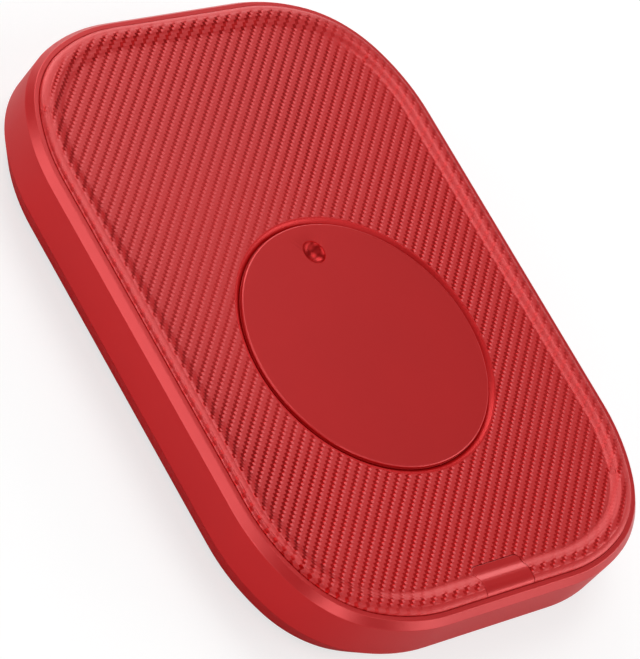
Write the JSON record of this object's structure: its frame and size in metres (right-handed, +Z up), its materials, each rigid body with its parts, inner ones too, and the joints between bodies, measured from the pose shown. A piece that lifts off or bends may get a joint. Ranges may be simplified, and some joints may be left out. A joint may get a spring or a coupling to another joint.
{
  "type": "mouse jiggler",
  "caption": "Slim rounded desk puck with a woven top and a flush motor-driven disc that slowly turns under a resting mouse, with an edge power button and a USB-C inlet.",
  "frame": {"origin": "on the table under the centre of the footprint, at the bottom of the rubber feet", "axes": "+Z up, +Y along the length from the button side to the USB-C side, +X across the width"},
  "size_m": [0.08, 0.11, 0.014],
  "materials": {
    "housing_red": "satin painted red",
    "skin_red": "woven twill",
    "disc_red": "satin moulded red",
    "button_red": "polished, light passes through",
    "base_red": "fine texture",
    "foot_rubber": "matte",
    "screw_steel": "zinc plated",
    "axle_steel": "ground",
    "gear_white": "moulded acetal",
    "worm_brass": "cut",
    "motor_steel": "drawn can",
    "inner_black": "moulded",
    "board_green": "solder resist",
    "connector_metal": "drawn shell",
    "flex_amber": "film",
    "lead_black": "insulated",
    "led_clear": "clear"
  },
  "bodies": {
    "housing": {"bezel_frame": "housing_red", "bottom_cover": "base_red", "rubber_feet": "foot_rubber", "housing_screws": "screw_steel", "top_carrier": "housing_red", "woven_skin": "skin_red", "turntable_axle": "axle_steel", "thrust_washer": "axle_steel", "retaining_clip": "axle_steel", "motor_can": "motor_steel", "motor_end_cap": "inner_black", "motor_cradle": "inner_black", "motor_clamp": "motor_steel", "cradle_screws": "screw_steel", "main_board": "board_green", "button_board": "board_green", "board_screws": "screw_steel", "usb_c_shell": "connector_metal", "usb_c_tongue": "inner_black", "controller_chip": "inner_black", "motor_driver_chip": "inner_black", "passive_parts": "inner_black", "board_connectors": "gear_white", "flex_cable": "flex_amber", "motor_leads": "lead_black", "button_guide": "inner_black", "tact_switch_body": "inner_black", "status_led": "led_clear"},
    "turntable": {"turntable_disc": "disc_red", "turntable_gear": "gear_white"},
    "motor_rotor": {"worm": "worm_brass", "motor_shaft": "axle_steel"},
    "button": {"power_button": "button_red"},
    "switch_plunger": {"tact_plunger": "inner_black"}
  },
  "joints": [
    {"name": "turntable_spin", "type": "hinge", "parent": "housing", "child": "turntable", "pos_m": [0, -0.0087, 0.0067], "axis": [0, 0, 1], "continuous": true},
    {"name": "worm_spin", "type": "hinge", "parent": "housing", "child": "motor_rotor", "pos_m": [0, 0.0117, 0.0067], "axis": [1, 0, 0], "continuous": true},
    {"name": "button_press", "type": "slide", "parent": "housing", "child": "button", "axis": [0, 0, -1], "range_m": [0, 0.0003], "stiffness_N_per_m": 1200},
    {"name": "plunger_press", "type": "slide", "parent": "housing", "child": "switch_plunger", "axis": [0, 0, -1], "range_m": [0, 0.0003]}
  ],
  "couplings": [
    {"joint": "worm_spin", "follows": "turntable_spin", "ratio": 72},
    {"joint": "plunger_press", "follows": "button_press", "ratio": 1}
  ]
}
